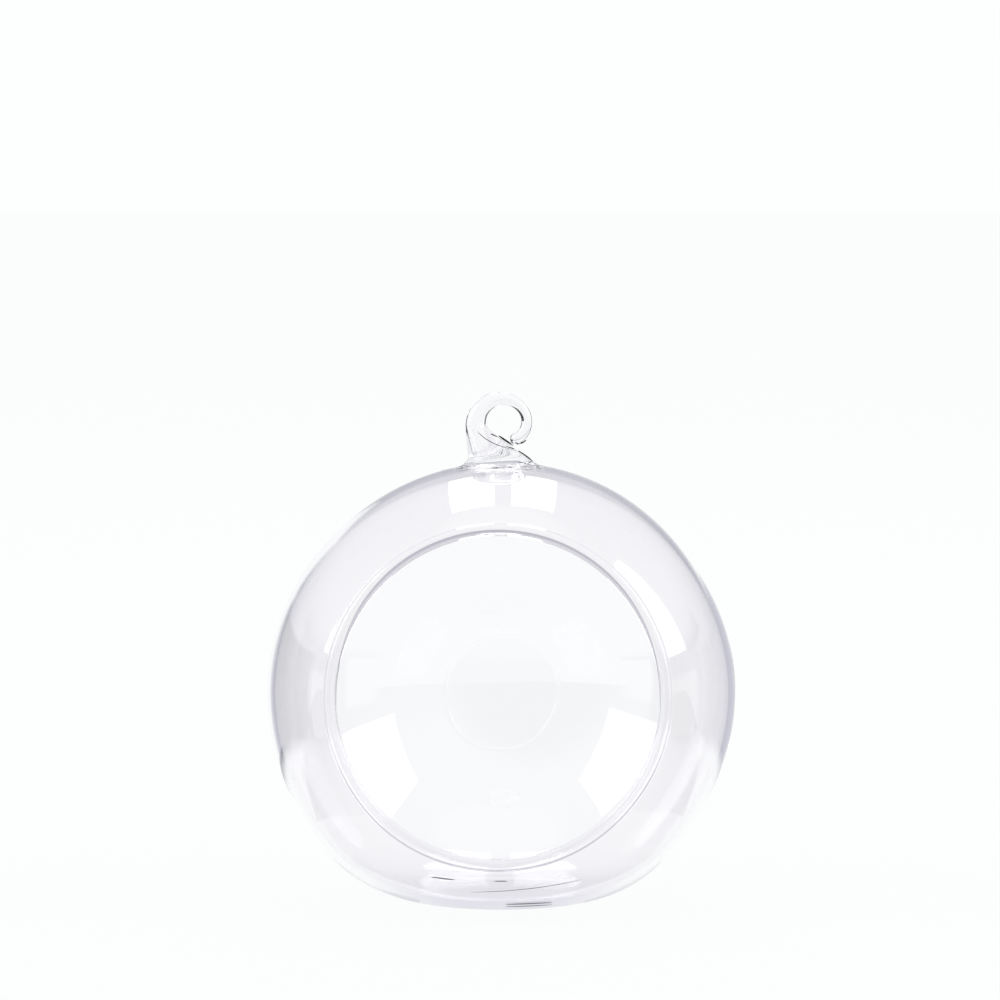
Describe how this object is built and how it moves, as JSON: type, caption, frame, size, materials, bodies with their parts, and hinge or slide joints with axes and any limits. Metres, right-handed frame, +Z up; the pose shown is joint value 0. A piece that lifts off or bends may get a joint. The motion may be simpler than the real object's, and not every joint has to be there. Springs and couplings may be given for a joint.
{
  "type": "hanging glass ball vase",
  "caption": "Clear blown-glass ball vase with a round front mouth, a melted rim, a soft flat foot and a curled glass hook to hang it by.",
  "frame": {"origin": "middle of the flat foot, on the surface that the vase stands on, straight below the ball's centre", "axes": "+Z up through the ball's centre to the hook, -Y out of the mouth, and the hook's eye is open along Y"},
  "size_m": [0.12, 0.1071, 0.1299],
  "materials": {
    "clear_glass": "clear, blown and fire-polished"
  },
  "bodies": {
    "root": {"glass_ball_vase": "clear_glass"}
  },
  "joints": []
}
